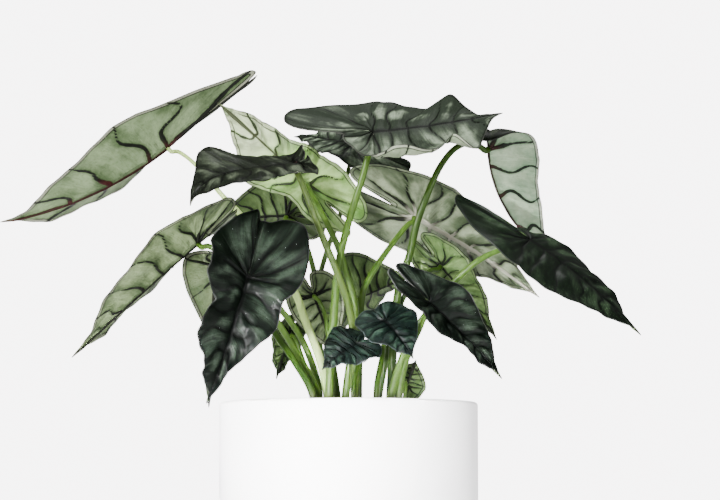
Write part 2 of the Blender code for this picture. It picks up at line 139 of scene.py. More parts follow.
# Looks of a blade's upper side and underside. The colours are deep beside the veins, patch between them,
# ink in the veins, rib in the midrib and rim at the edge; deep and patch are partly the leaf's own tones and
# partly painted shade in the hollows and painted highlight on the raised panels. sheen pales the raised
# panels, partly the leaf's own pale patches and partly a painted highlight; specks is dust, coat is gloss,
# nearPale is painted light and shade that pales the right half and darkens the left, strip pales the band
# outside the collective vein, fold darkens the low half of each panel as painted shade, and tipPale pales
# the tip, partly the young leaf's own lighter green and partly a painted highlight.
upperLooks = {
    "black": {"deep": (.001, .002, .0012), "patch": (.022, .032, .022), "ink": (.0005, .0008, .0006),
              "sheen": .85, "specks": .5, "rim": (.05, .052, .05), "coat": .12},
    "forest": {"deep": (.0014, .0032, .0014), "patch": (.017, .029, .015), "ink": (.0006, .0011, .0007),
               "sheen": .85, "rim": (.03, .035, .03), "coat": .12},
    "charcoal": {"deep": (.0038, .005, .0032), "patch": (.044, .054, .036), "ink": (.0008, .0009, .0007),
                 "sheen": .9, "rim": (.02, .022, .018), "coat": .07},
    "bronze": {"deep": (.0105, .014, .0095), "patch": (.125, .155, .108), "ink": (.0008, .0009, .0007),
               "sheen": .95, "rim": (.04, .042, .036), "coat": .04, "nearPale": .3},
    "ash": {"deep": (.01, .014, .009), "patch": (.12, .155, .105), "ink": (.0012, .0015, .001),
            "sheen": .95, "rim": (.04, .045, .036), "coat": .04},
    "teal": {"deep": (.0016, .004, .0032), "patch": (.022, .042, .028), "ink": (.0005, .0011, .001),
             "sheen": .8, "specks": .8, "rim": (.03, .04, .04), "coat": .16},
    "lime": {"deep": (.15, .25, .05), "patch": (.36, .46, .18), "ink": (.03, .03, .015),
             "sheen": .8, "rim": (.05, .06, .03), "coat": .12},
}
underLooks = {
    "sage": {"deep": (.036, .062, .022), "patch": (.19, .26, .135), "ink": (.001, .0007, .0008),
             "rib": (.034, .004, .0055), "strip": .75, "fold": .45},
    "grey": {"deep": (.022, .038, .014), "patch": (.17, .225, .11), "ink": (.0008, .0007, .0007),
             "rib": (.003, .0018, .0018), "strip": .3, "fold": .6},
    "olive": {"deep": (.018, .034, .008), "patch": (.062, .098, .034), "ink": (.0008, .0008, .0007),
              "rib": (.002, .0018, .0014), "strip": .1, "fold": .6},
    "dull": {"deep": (.028, .044, .018), "patch": (.085, .112, .055), "ink": (.0008, .0007, .0007),
             "rib": (.003, .0018, .0018), "strip": .3, "fold": .4},
    "mint": {"deep": (.11, .185, .11), "patch": (.33, .41, .28), "ink": (.0012, .0008, .001),
             "rib": (.02, .003, .005), "strip": .7, "fold": .4},
    "pale": {"deep": (.11, .15, .085), "patch": (.29, .34, .235), "ink": (.0012, .001, .001),
             "rib": (.12, .13, .09), "strip": .4, "fold": .3},
    "silver": {"deep": (.022, .034, .015), "patch": (.185, .225, .14), "ink": (.0008, .0008, .0007),
               "rib": (.24, .24, .185), "strip": .1, "fold": .8},
    "lime": {"deep": (.045, .11, .016), "patch": (.23, .345, .12), "ink": (.008, .012, .004),
             "rib": (.022, .026, .01), "strip": .3, "fold": .5, "tipPale": .6},
    "leaf": {"deep": (.02, .042, .01), "patch": (.088, .138, .047), "ink": (.0008, .0011, .0006),
             "rib": (.002, .0026, .0012), "strip": .15, "fold": .6},
}


# The grain of a blade's two sides. streaks and drape run along the veins, and lineHeight raises the
# veins in the bump, or sinks them below 0. depth is in metres.
upperGrain = {
    "broad": 4.5, "clouds": 13, "mottle": 60, "dust": 38,
    "streaks": (5, 1.3, 1), "streakRough": 0.62,
    "drape": (1.3, 1.0, 1), "drapeDetail": 2, "drapeRough": 0.5, "drapeTwist": 1.0,
    "lineHeight": -0.5, "bump": 0.8, "depth": 0.0018,
}
underGrain = {
    "broad": 5, "clouds": 16, "mottle": 45,
    "streaks": (4.5, 1.2, 1), "streakRough": 0.6,
    "drape": (1.2, 0.9, 1), "drapeDetail": 3, "drapeRough": 0.55, "drapeTwist": 1.2,
    "lineHeight": 0.5, "bump": 0.7, "depth": 0.0016,
}
dustColour = (0.6, 0.65, 0.65)
tipColour = (0.50, 0.56, 0.38)
stripColour = (0.24, 0.20, 0.20)
collectiveVein = 2.1  # millimetres in from the margin


def leafGrain(paint, sizes):
    place = paint.uvPlace("flatLeaf")
    alongVeins = paint.uvPlace("alongVeins")
    streaks = paint.grain(paint.stretch(alongVeins, sizes["streaks"]), 1.0, 5, sizes["streakRough"], 0.8)
    drape = paint.grain(paint.stretch(alongVeins, sizes["drape"]), 1.0, sizes["drapeDetail"],
                        sizes["drapeRough"], sizes["drapeTwist"])
    broad = paint.grain(place, sizes["broad"], 3)
    clouds = paint.grain(place, sizes["clouds"], 4, 0.6)
    mottle = paint.grain(place, sizes["mottle"], 5, 0.6)
    return place, broad, clouds, mottle, streaks, drape


def leafNormal(paint, sizes, clouds, mottle, streaks, drape, lines):
    height = paint.plus(streaks, paint.times(clouds, 0.8))
    height = paint.plus(height, paint.times(drape, 1.2))
    height = paint.plus(height, paint.times(lines, sizes["lineHeight"]))
    return paint.bump(mottle, 0.2, 0.0004, paint.bump(height, sizes["bump"], sizes["depth"]))


def paintUpper(name, look):
    paint = Paint(name)
    place, broad, clouds, mottle, streaks, drape = leafGrain(paint, upperGrain)
    # The raised middles of the panels are pale: partly the leaf's own pale patches and partly a painted
    # highlight on the quilting's crests.
    raised = paint.times(paint.attribute("bulge"), paint.smooth(broad, 0.36, 0.66, 0.05, 1.0))
    raised = paint.times(raised, paint.smooth(clouds, 0.25, 0.75, 0.7, 1.15))
    raised = paint.plus(raised, paint.smooth(streaks, 0.25, 0.75, -0.15, 0.15))
    raised = paint.plus(raised, paint.smooth(drape, 0.38, 0.68, -0.2, 0.4))
    raised = paint.times(raised, paint.smooth(paint.attribute("outward"), 0.05, 0.55, 0.2, 1))
    # Painted shade: the pale fades towards the far vein of each panel, so one side of each panel is darker.
    raised = paint.times(raised, paint.smooth(paint.attribute("slant"), 0.55, 1.0, 1.0, 0.45))
    # Painted light and shade: the right half of the blade is paler and the left half darker.
    nearPale = look.get("nearPale")
    if nearPale:
        raised = paint.plus(raised, paint.smooth(paint.part(place, "Y"), 0.75, 1.2, nearPale, -nearPale))
    colour = paint.mix(look["deep"], look["patch"], paint.smooth(raised, 0.0, 0.95, 0, look["sheen"]))
    colour = paint.mix(colour, look["deep"], paint.smooth(mottle, 0.42, 0.75, 0, 0.4))
    # Veins, creases and the margin are dark, with a thin paler rim. The broad dark band beside the sunken
    # veins and the dark creases are painted shade.
    veinInk = paint.attribute("veinInk")
    colour = paint.mix(colour, look["deep"], paint.smooth(veinInk, 0.5, 3.2, 0.55, 0))
    vein = paint.smooth(veinInk, 0.3, 1.1, 1, 0)
    rib = paint.smooth(paint.attribute("ribInk"), 0.4, 1.5, 1, 0)
    lines = paint.calc("MAXIMUM", vein, rib)
    colour = paint.mix(colour, look["ink"], paint.times(lines, 0.85))
    # Painted shade in the fine creases, where the bump is lowest.
    colour = paint.mix(colour, look["ink"], paint.smooth(streaks, 0.28, 0.36, 0.35, 0))
    edgeNear = paint.attribute("edgeNear")
    colour = paint.mix(colour, look["ink"], paint.smooth(edgeNear, 0.9, 1.7, 0.6, 0))
    rim = paint.times(paint.smooth(edgeNear, 0.3, 0.7, 1, 0), paint.smooth(broad, 0.35, 0.6, 0.2, 0.9))
    colour = paint.mix(colour, look["rim"], rim)
    if "specks" in look:
        dust = paint.smooth(paint.cells(place, upperGrain["dust"]), 0.035, 0.07, look["specks"], 0)
        colour = paint.mix(colour, dustColour, paint.times(dust, paint.smooth(clouds, 0.52, 0.6)))
    normal = leafNormal(paint, upperGrain, clouds, mottle, streaks, drape, lines)
    return paint.finish(colour, 0.55, normal, Specular_IOR_Level=0.0, Coat_Weight=look["coat"],
                        Coat_Roughness=0.36)


def paintUnder(name, look):
    paint = Paint(name)
    place, broad, clouds, mottle, streaks, drape = leafGrain(paint, underGrain)
    # The panels are paler where they rise: partly the leaf's own uneven tone and partly a painted highlight
    # on the quilting.
    raised = paint.plus(paint.times(paint.attribute("bulge"), 0.3), broad)
    raised = paint.plus(raised, paint.times(paint.plus(clouds, streaks), 0.35))
    colour = paint.mix(look["deep"], look["patch"], paint.smooth(raised, 0.6, 1.25))
    colour = paint.mix(colour, look["deep"], paint.smooth(mottle, 0.45, 0.8, 0, 0.4))
    # Painted shade of the quilting: each panel darkens towards its next vein.
    panelShade = paint.plus(paint.attribute("slant"), paint.smooth(drape, 0.3, 0.7, 0.35, -0.35))
    colour = paint.mix(colour, look["deep"], paint.smooth(panelShade, 0.35, 1.1, 0, look["fold"]))
    # The tip is paler: partly the young leaf's own lighter green and partly a painted highlight.
    if "tipPale" in look:
        ahead = paint.part(place, "X")
        colour = paint.mix(colour, tipColour, paint.smooth(ahead, 1.2, 1.45, 0, look["tipPale"]))
    edgeNear = paint.attribute("edgeNear")
    outside = paint.mix(look["patch"], stripColour, 0.6)
    colour = paint.mix(colour, outside, paint.smooth(edgeNear, 1.6, 2.3, look["strip"], 0))
    veinInk = paint.attribute("veinInk")
    # Painted shade: a darker band beside the veins, and thin dark lines in the fine creases.
    colour = paint.mix(colour, look["deep"], paint.smooth(veinInk, 0.8, 3.0, 0.45, 0))
    colour = paint.mix(colour, look["ink"], paint.smooth(streaks, 0.27, 0.34, 0.5, 0))
    # The veins take the rib's colour close to it, and fade out before the tip.
    around = paint.calc("ABSOLUTE", paint.calc("SUBTRACT", edgeNear, collectiveVein))
    collective = paint.smooth(around, 0.2, 0.5, 0.9, 0)
    tipNear = paint.attribute("tipNear")
    inked = paint.times(veinInk, paint.smooth(clouds, 0.3, 0.7, 0.7, 1.15))
    vein = paint.smooth(inked, 0.75, 1.2, 1, 0)
    rib = paint.smooth(paint.attribute("ribInk"), 0.7, 1.1, 1, 0)
    warm = paint.plus(paint.attribute("outward"), paint.times(broad, 0.5))
    inkColour = paint.mix(look["rib"], look["ink"], paint.smooth(warm, 0.28, 0.55))
    drawn = paint.times(paint.calc("MAXIMUM", vein, collective), paint.smooth(tipNear, 0, 1, 0.95, 0.1))
    colour = paint.mix(colour, inkColour, drawn)
    colour = paint.mix(colour, look["rib"], paint.times(rib, 0.92))
    edge = paint.times(paint.smooth(edgeNear, 0.1, 0.5, 1, 0), paint.smooth(tipNear, 0, 1, 0.95, 0.3))
    colour = paint.mix(colour, look["ink"], edge)
    lines = paint.calc("MAXIMUM", vein, rib)
    normal = leafNormal(paint, underGrain, clouds, mottle, streaks, drape, lines)
    return paint.finish(colour, 0.6, normal, Specular_IOR_Level=0.05, Coat_Weight=0.12, Coat_Roughness=0.4)


# Leaves

# A blade is laid out along lines that fan out from the midrib to the margin, numbered from the sinus to
# the tip. Each row has one value per half line. Behind the petiole, lengths are shares of the lobe;
# ahead of it they are shares of the blade. Widths are shares of the half blade.
firstLine, lastLine = -3, 6
marginAlong = (-.5, -.90, -1, -.86, -.58, -.24, .04, .13, .22, .32, .42, .51, .60, .675, .745, .81, .87,
               .93, 1)
marginAcross = (0, .10, .36, .66, .87, .975, 1, .995, .96, .885, .785, .67, .55, .435, .325, .225, .135,
                .05, 0)
midribAlong = (0, 0, 0, 0, 0, 0, 0, .06, .12, .195, .27, .35, .43, .515, .60, .685, .77, .885, 1)
firstVein, lastVein = -2, 5.5
veinsFade, wrinklesEnd = 4.5, 5.2  # the lines where the veins start to fade and the finer folds end
hemStart = 0.4  # share of the half blade where its curl starts
bowAhead, bowOut = 0.25, 0.55  # shares of a line's run where it bends; equal ones would leave it straight
fullWidth = 32  # half width from which a blade's veins have their full width
behindSteps, aheadSteps = 30, 60  # along the midrib, seen from the petiole
veinPoints, marginPoints = 22, 90
uvSpan = 100  # millimetres of leaf to a unit of the map

# What a leaf has unless its own entry says otherwise. Pairs are (left, right), seen from above with
# the tip ahead; angles are in degrees and lengths in millimetres.
plainLeaf = {
    "slot": "blade_pale_side",
    "upper": "charcoal", "under": "leaf", "petiole": "lime",  # its looks
    "width": 30,  # of the half blade
    "lobe": 20,  # length of the lobes behind the petiole
    "lobeShare": (1, 1),  # of that length on each side
    "notch": 0.4,  # how far back the sinus starts, as a share of the lobe
    "slim": 1.0,  # under 1 narrows the middle of the blade
    "lobeSlim": 1.0,
    "nips": (),  # (side, line, spread, share) where the margin draws in, or swells below 0
    "droop": 15,  # bend of the midrib from petiole to tip
    "tipDroop": 0,  # more bend, close to the tip
    "swing": 0,  # bend of the midrib to the left
    "lobeDroop": 0,  # bend of the lobes, down to their back
    "fold": (5, 5),  # rise of each half from the midrib
    "lobeFold": (0, 0),  # more of it in the lobes
    "tipFold": (0, 0),  # more of it at the tip
    "hem": (0, 0),  # curl of the outer blade
    "puff": 1.0,  # strength of the quilting
    "wave": 1.5,  # height of the margin's waves
    "waves": 2.2,  # how many of them
    "lifts": (),  # (side, line, spread, height) where the margin rises
    "veinStep": 1,  # lines from one vein to the next
    "wrinkle": 1.0,  # strength of the finer folds
    "veinWidth": 0.9,  # of half a vein at the midrib
    "ribWidth": 1.3,  # of half the midrib at the petiole
}


def unit(vector):
    return vector / np.linalg.norm(vector)


# Adds one more value or point at each end, straight on.
def lengthen(values):
    values = np.asarray(values, float)
    return np.concatenate([[2 * values[0] - values[1]], values, [2 * values[-1] - values[-2]]])


# A smooth curve from b to c, with a before them and d after, at share t.
def between(a, b, c, d, t):
    return 0.5 * (2 * b + (c - a) * t + (2 * a - 5 * b + 4 * c - d) * t**2 + (3 * b - a - 3 * c + d) * t**3)


# Reads one value per half line as a smooth curve.
def readLine(values, line):
    place = (np.asarray(line, float) - firstLine) * 2
    index = np.clip(np.floor(place).astype(int), 0, len(values) - 2)
    padded = lengthen(values)
    return between(*(padded[index + k] for k in range(4)), place - index)


def bell(line, centre, spread):
    return np.exp(-(((line - centre) / spread) ** 2))


# Each point's distance from a line through the path's points.
def distanceTo(points, path):
    starts, steps = path[:-1], np.diff(path, axis=0)
    toPoint = points[:, None, :] - starts[None]
    share = np.sum(toPoint * steps, -1) / np.maximum(np.sum(steps * steps, -1), 1e-9)
    nearest = toPoint - np.clip(share, 0, 1)[..., None] * steps
    return np.linalg.norm(nearest, axis=-1).min(1)


# One bent leaf blade. Its point() gives places in millimetres.
class Blade:
    def __init__(self, leaf):
        self.leaf = leaf
        chord = np.subtract(leaf["tip"], leaf["attach"]).astype(float)
        self.bendMidrib(1.0, 1.0)
        reach = np.linalg.norm(self.frameAt(np.array([1.0]))[0][0])
        self.bendMidrib(np.linalg.norm(chord) / reach, leaf["lobe"])
        self.turnTo(unit(chord))
        self.curlSections()

    def bendMidrib(self, length, lobe):
        leaf = self.leaf
        self.length = length
        behind = np.linspace(-lobe * 1.05, 0, behindSteps)
        self.along = np.concatenate([behind[:-1], np.linspace(0, length, aheadSteps)])
        ahead = np.clip(self.along / length, 0, None)
        back = np.clip(-self.along / lobe, 0, None)
        bend = leaf["droop"] * ahead + leaf["tipDroop"] * ahead**4 - leaf["lobeDroop"] * back
        self.pitch = np.radians(bend)
        self.yaw = np.radians(leaf["swing"] * ahead)
        level = np.cos(self.pitch)
        run = np.stack([level * np.cos(self.yaw), level * np.sin(self.yaw), -np.sin(self.pitch)], 1)
        steps = np.diff(self.along)[:, None] * (run[1:] + run[:-1]) / 2
        places = np.concatenate([np.zeros((1, 3)), np.cumsum(steps, 0)])
        self.midrib = places - places[len(behind) - 1]

    # The midrib's place, and which way is left and up there.
    def frameAt(self, along):
        place = np.stack([np.interp(along, self.along, self.midrib[:, k]) for k in range(3)], -1)
        pitch = np.interp(along, self.along, self.pitch)
        yaw = np.interp(along, self.along, self.yaw)
        left = np.stack([-np.sin(yaw), np.cos(yaw), 0 * yaw], -1)
        up = np.stack([np.sin(pitch) * np.cos(yaw), np.sin(pitch) * np.sin(yaw), np.cos(pitch)], -1)
        return place, left, up

    # Finds the turn that lays the bent midrib from attach to tip, with its upper side facing right.
    def turnTo(self, chord):
        ownChord = unit(self.frameAt(np.array([self.length]))[0][0])
        ownUp = np.array([0.0, 0.0, 1.0])
        ownUp = unit(ownUp - ownUp @ ownChord * ownChord)
        up = np.array(self.leaf["facing"], float)
        up = unit(up - up @ chord * chord)
        own = np.stack([ownChord, np.cross(ownUp, ownChord), ownUp], 1)
        wanted = np.stack([chord, np.cross(up, chord), up], 1)
        self.turn = wanted @ own.T

    # Works out, for each side, how far a curled section reaches across and up.
    def curlSections(self):
        self.widthShare = np.linspace(0, 1.1, 45)
        self.sections = {}
        for side, hem in zip((leftSide, rightSide), self.leaf["hem"]):
            curl = np.radians(hem) * np.clip((self.widthShare - hemStart) / (1 - hemStart), 0, None) ** 1.2
            step = np.diff(self.widthShare)
            reach = np.cumsum(step * (np.cos(curl)[1:] + np.cos(curl)[:-1]) / 2)
            rise = np.cumsum(step * (np.sin(curl)[1:] + np.sin(curl)[:-1]) / 2)
            self.sections[side] = (curl, np.append(0, reach), np.append(0, rise))

    def flatPlace(self, line, across, side):
        leaf = self.leaf
        line, across = np.broadcast_arrays(np.asarray(line, float), np.asarray(across, float))
        along = readLine((-leaf["notch"],) + marginAlong[1:], line)
        aside = np.clip(readLine(marginAcross, line), 0, None)
        middle = np.sin(np.clip(line / lastLine, 0, 1) * np.pi)
        aside = aside * (1 - (1 - leaf["slim"]) * middle)
        aside = aside * (1 - (1 - leaf["lobeSlim"]) * np.clip(-line / 1.5, 0, 1))
        for nipSide, centre, spread, share in leaf["nips"]:
            if nipSide == side:
                aside = aside * (1 - share * bell(line, centre, spread))
        shorter = 1 - leaf["lobeShare"][0 if side == leftSide else 1]
        lobe = leaf["lobe"] * (1 - shorter * np.clip(2 * (line - firstLine), 0, 1))
        along = np.where(along < 0, along * lobe, along * self.length)
        aside = aside * leaf["width"]
        start = np.where(line <= 0, 0, readLine(midribAlong, line)) * self.length
        bow = start + bowAhead * (along - start)
        rest = 1 - across
        x = rest**2 * start + 2 * across * rest * bow + across**2 * along
        y = 2 * across * rest * bowOut * aside + across**2 * aside
        return x, y

    # How far a vein strays from its line, which it does in slight waves.
    def stray(self, line, across):
        start = self.leaf["width"] * 1.7
        slow = np.sin(2.1 * line + 5 * across + start) * np.sin(np.pi * across**0.8)
        quick = np.sin(5.3 * line - 7 * across + 2 * start) * across
        return (0.17 * slow + 0.12 * quick) * self.leaf["veinStep"]

    # How far along its panel a point lies, from 0 at one vein to 1 at the next.
    def slant(self, line, across):
        turn = (line - firstVein + self.stray(line, across)) / self.leaf["veinStep"]
        return turn - np.floor(turn)

    # The quilting between veins, from 0 at a vein to 1.
    def bulge(self, line, across):
        fade = np.clip((lastLine - line) / 2, 0, 1)
        panel = np.sin(np.pi * self.slant(line, across) ** 0.85) ** 0.9
        return panel * np.sin(np.pi * across**0.8) ** 0.8 * fade

    # The quilting, the margin's waves and its lifts, as a height in millimetres.
    def relief(self, line, across, side):
        leaf = self.leaf
        height = leaf["puff"] * leaf["veinStep"] ** 0.5 * 1.5 * self.bulge(line, across)
        turns = 2 * np.pi * leaf["waves"] * line / lastLine + (0 if side == leftSide else 1.3)
        ends = np.clip((lastLine - line) / 1.5, 0, 1) * np.clip(line - firstLine, 0, 1)
        edge = across**2.5 * ends
        height = height + leaf["wave"] * np.sin(turns) * edge
        height = height + 0.22 * leaf["wave"] * np.sin(turns * 3.3 + 1) * edge
        for liftSide, centre, spread, lift in leaf["lifts"]:
            if liftSide == side:
                height = height + lift * bell(line, centre, spread) * across**2
        return height

    def point(self, line, across, side, wrinkle=0):
        leaf = self.leaf
        line, across = np.broadcast_arrays(np.asarray(line, float), np.asarray(across, float))
        x, y = self.flatPlace(line, across, side)
        place, left, up = self.frameAt(x)
        pick = 0 if side == leftSide else 1
        fold = leaf["fold"][pick] + leaf["lobeFold"][pick] * np.clip(-x / leaf["lobe"], 0, 1)
        fold = np.radians(fold + leaf["tipFold"][pick] * np.clip(x / self.length, 0, 1) ** 2)
        curl, reach, rise = (np.interp(y / leaf["width"], self.widthShare, v) for v in self.sections[side])
        aside = leaf["width"] * (np.cos(fold) * reach - np.sin(fold) * rise)
        above = leaf["width"] * (np.sin(fold) * reach + np.cos(fold) * rise)
        tilt = fold + curl
        height = self.relief(line, across, side) + wrinkle
        aside = aside - height * np.sin(tilt)
        above = above + height * np.cos(tilt)
        out = place + above[..., None] * up + side * aside[..., None] * left
        return np.array(leaf["attach"]) + out @ self.turn.T

    # For each point: its distance from the veins and midrib in their half widths, that from the margin in
    # millimetres, and where it lies on its panel and blade.
    def marks(self, line, across, side):
        leaf = self.leaf
        x, y = self.flatPlace(line, across, side)
        points = np.stack([x, y], -1)
        steps = np.linspace(0, 1, veinPoints)
        vein = np.full(len(points), 99.0)
        for number in np.arange(firstVein, lastVein + 0.1, leaf["veinStep"]):
            path = np.stack(self.flatPlace(number - self.stray(number, steps), steps, side), -1)
            vein = np.minimum(vein, distanceTo(points, path))
        margin = np.stack(self.flatPlace(np.linspace(firstLine, lastLine, marginPoints), 1.0, side), -1)
        rib = distanceTo(points, np.array([[0.0, 0.0], [self.length, 0.0]]))
        ribTaper = leaf["ribWidth"] * (1 - 0.75 * np.clip(x / self.length, 0, 1))
        small = min(leaf["width"] / fullWidth, 1)
        return {
            "veinInk": vein / (leaf["veinWidth"] * small * (1 - 0.4 * across)),
            "ribInk": rib / ribTaper,
            "edgeNear": distanceTo(points, margin),
            "bulge": self.bulge(line, across),
            "outward": across,
            "slant": self.slant(line, across),
            "tipNear": np.clip((line - veinsFade) / 0.6, 0, 1),
        }, x, y


# The finer folds of a blade, in millimetres: broad ones along the veins, and small puckers.
def wrinkles(leaf, line, across, onLeft):
    fade = np.clip((wrinklesEnd - line) / 2, 0, 1) * np.sin(np.pi * np.clip(across, 0, 1) ** 0.8) ** 0.5
    heights = []
    for one, aside, left in zip(line, across, onLeft):
        start = leaf["width"] + (0 if left else 50)
        broad = noise.noise(Vector((one * 1.2, aside * 1.8, start)))
        small = noise.noise(Vector((one * 3.4, aside * 3.0, start + 7)))
        heights.append(1.3 * broad + 0.6 * small)
    return leaf["wrinkle"] * fade * np.array(heights)


def addObject(name, data):
    made = bpy.data.objects.new(name, data)
    bpy.context.collection.objects.link(made)
    return made


def meshObject(work, name, *materials):
    mesh = bpy.data.meshes.new(name)
    work.to_mesh(mesh)
    work.free()
    for material in materials:
        mesh.materials.append(material)
    return addObject(name, mesh)


# Makes the worked mesh a piece that takes the place of a CAD node.
def placePiece(work, name, node, slot, *materials):
    made = meshObject(work, name, *materials)
    made.data.shade_smooth()
    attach(made, "root")
    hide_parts(node)
    return made


# Grid steps, wall in millimetres, its shares between the veins and on their ridges, and the merge gap.
bladeMesh = {"along": 108, "across": 44, "wall": 1.5, "between": 0.3, "veins": 0.45, "merge": 0.02}


def makeBlade(leaf):
    blade = Blade(leaf)
    work = bmesh.new()
    bmesh.ops.create_grid(work, x_segments=bladeMesh["along"], y_segments=bladeMesh["across"], size=1)
    flat = np.array([vert.co for vert in work.verts], float)
    line = (lastLine - firstLine) / 2 * (flat[:, 0] + 1) + firstLine
    across = np.abs(flat[:, 1]) ** 0.92
    onLeft = flat[:, 1] > 0
    wrinkle = wrinkles(leaf, line, across, onLeft)
    onTheLeft, onTheRight = (blade.point(line, across, side, wrinkle) for side in (leftSide, rightSide))
    places = np.where(onLeft[:, None], onTheLeft, onTheRight)
    leftMarks, leftX, leftY = blade.marks(line, across, leftSide)
    rightMarks, rightX, rightY = blade.marks(line, across, rightSide)
    marks = {name: np.where(onLeft, leftMarks[name], rightMarks[name]) for name in leftMarks}
    flatX = np.where(onLeft, leftX, rightX)
    flatY = np.where(onLeft, leftY, -rightY)
    # A vein's ridge gets lower towards the margin.
    veinRidge = bell(marks["veinInk"], 0, 0.9) * (1 - 0.7 * across) * bladeMesh["veins"]
    ribbed = np.maximum(veinRidge, bell(marks["ribInk"], 0, 0.9))
    thinnest = bladeMesh["between"]
    thickness = thinnest + (1 - thinnest) * ribbed * np.clip(marks["edgeNear"] / 2, 0, 1)
    layers = {name: work.verts.layers.float.new(name) for name in marks}
    thick = work.verts.layers.deform.verify()
    for index, vert in enumerate(work.verts):
        vert.co = places[index] * mm
        vert[thick][0] = thickness[index]
        for name, layer in layers.items():
            vert[layer] = marks[name][index]
    sheet = work.loops.layers.uv.new("flatLeaf")
    veins = work.loops.layers.uv.new("alongVeins")
    work.verts.index_update()
    for face in work.faces:
        for corner in face.loops:
            index = corner.vert.index
            corner[sheet].uv = (flatX[index] / uvSpan + 1, flatY[index] / uvSpan + 1)
            # The two halves read different parts of the grain.
            corner[veins].uv = (line[index] + (20 if onLeft[index] else 40), across[index])
    bmesh.ops.remove_doubles(work, verts=work.verts, dist=bladeMesh["merge"] * mm)
    bmesh.ops.recalc_face_normals(work, faces=work.faces)
    up = blade.turn @ np.array([0.0, 0.0, 1.0])
    work.normal_update()
    if sum(float(np.dot(face.normal, up)) * face.calc_area() for face in work.faces) < 0:
        bmesh.ops.reverse_faces(work, faces=work.faces)
    name = leaf["piece"]
    upper = paintUpper(name + "Upper", upperLooks[leaf["upper"]])
    under = paintUnder(name + "Under", underLooks[leaf["under"]])
    made = placePiece(work, name + "Blade", "blade_" + leaf["node"], leaf["slot"], upper, under)
    made.vertex_groups.new(name="ribs")
    wall = made.modifiers.new("Thickness", "SOLIDIFY")
    wall.thickness = bladeMesh["wall"] * mm
    wall.offset = -1
    wall.vertex_group = "ribs"
    wall.material_offset = 1
    wall.material_offset_rim = 1
    return blade


# Petioles

stemRoot = 116.0  # height in the soil
stemStraight = 133.0  # height up to which a petiole stands straight
stemSides = 14
stemRoute = 8  # steps between two points of its route
stemGap = 0.8  # from its end to its blade's upper side
stemNeck = 3.6  # straight length under that end
sheathBrown = (0.10, 0.07, 0.035)


# Runs a smooth curve through the points, with the same number of steps between each two.
def smoothRoute(points, steps):
    padded = lengthen(points)
    run = [between(*padded[index:index + 4], t)
           for index in range(len(points) - 1) for t in np.arange(steps) / steps]
    return np.array(run + [padded[-2]])


def petioleRun(leaf, blade):
    x, y = leaf["route"][0]
    under = blade.turn @ np.array([0.0, 0.0, -1.0])
    top = np.array(leaf["attach"]) + stemGap * under
    start = [(x, y, stemRoot), (x, y, stemStraight)]
    route = start + list(leaf["route"][1:]) + [tuple(top + stemNeck * under)]
    return np.concatenate([smoothRoute(route, stemRoute), [top + stemNeck / 2 * under, top]])


def paintPetiole(name, bright, dull):
    paint = Paint(name)
    place = paint.objectPlace()
    streaks = paint.grain(paint.stretch(place, (420, 420, 16)), 1.0, 4, 0.6)
    blotches = paint.grain(place, 60, 3)
    height = paint.part(place, "Z")
    colour = paint.mix(bright, dull, paint.smooth(streaks, 0.35, 0.7, 0, 0.55))
    # Close to the soil a petiole is dull in blotches, a painted shade near the pot's rim, and its sheath
    # brown.
    rimShade = paint.times(paint.smooth(height, 0.145, 0.2, 0.35, 0.0), paint.smooth(blotches, 0.3, 0.7, 0.4, 1))
    colour = paint.mix(colour, dull, rimShade)
    colour = paint.mix(colour, sheathBrown, paint.smooth(height, 0.133, 0.16, 0.85, 0))
    normal = paint.bump(streaks, 0.5, 0.0004)
    return paint.finish(colour, 0.5, normal, Specular_IOR_Level=0.1, Coat_Weight=0.15, Coat_Roughness=0.3)


petioleLooks = {
    "lime": paintPetiole("petioleLime", (0.052, 0.106, 0.012), (0.018, 0.042, 0.004)),
    "olive": paintPetiole("petioleOlive", (0.046, 0.076, 0.012), (0.015, 0.032, 0.004)),
    "cream": paintPetiole("petioleCream", (0.29, 0.39, 0.13), (0.13, 0.215, 0.04)),
    "green": paintPetiole("petioleGreen", (0.016, 0.038, 0.002), (0.006, 0.017, 0.001)),
    "middle": paintPetiole("petioleMiddle", (0.038, 0.08, 0.008), (0.015, 0.036, 0.003)),
}


def makePetiole(leaf, blade):
    run = petioleRun(leaf, blade)
    length = np.append(0, np.cumsum(np.linalg.norm(np.diff(run, axis=0), axis=1)))
    root, top = leaf["radii"]
    # It narrows up to its blade, and widens a little where it joins.
    radii = np.interp(length / length[-1], (0, 0.35, 0.93, 1), (root, root * 0.85, top, top * 1.15))
    ahead = np.gradient(run, axis=0)
    ahead = ahead / np.linalg.norm(ahead, axis=1)[:, None]
    sides = [np.array([1.0, 0.0, 0.0])]
    for way in ahead:
        carried = sides[-1] - sides[-1] @ way * way
        sides.append(unit(carried))
    firsts = np.array(sides[1:])
    seconds = np.cross(ahead, firsts)
    work = bmesh.new()
    bmesh.ops.create_grid(work, x_segments=len(run) - 1, y_segments=stemSides, size=1)
    for vert in work.verts:
        step = round((vert.co.x + 1) / 2 * (len(run) - 1))
        angle = math.pi * vert.co.y
        # A shallow channel runs up the side that faces in.
        radius = radii[step] * (1 + 0.05 * math.cos(2 * angle) - 0.05 * math.exp(-((angle / 0.5) ** 2)))
        around = math.cos(angle) * firsts[step] + math.sin(angle) * seconds[step]
        vert.co = (run[step] + radius * around) * mm
    bmesh.ops.remove_doubles(work, verts=work.verts, dist=0.01 * mm)
    ends = [edge for edge in work.edges if edge.is_boundary]
    bmesh.ops.holes_fill(work, edges=ends, sides=0)
    bmesh.ops.recalc_face_normals(work, faces=work.faces)
    look = petioleLooks[leaf["petiole"]]
    placePiece(work, leaf["piece"] + "Petiole", "petiole_" + leaf["node"], "petiole_green", look)


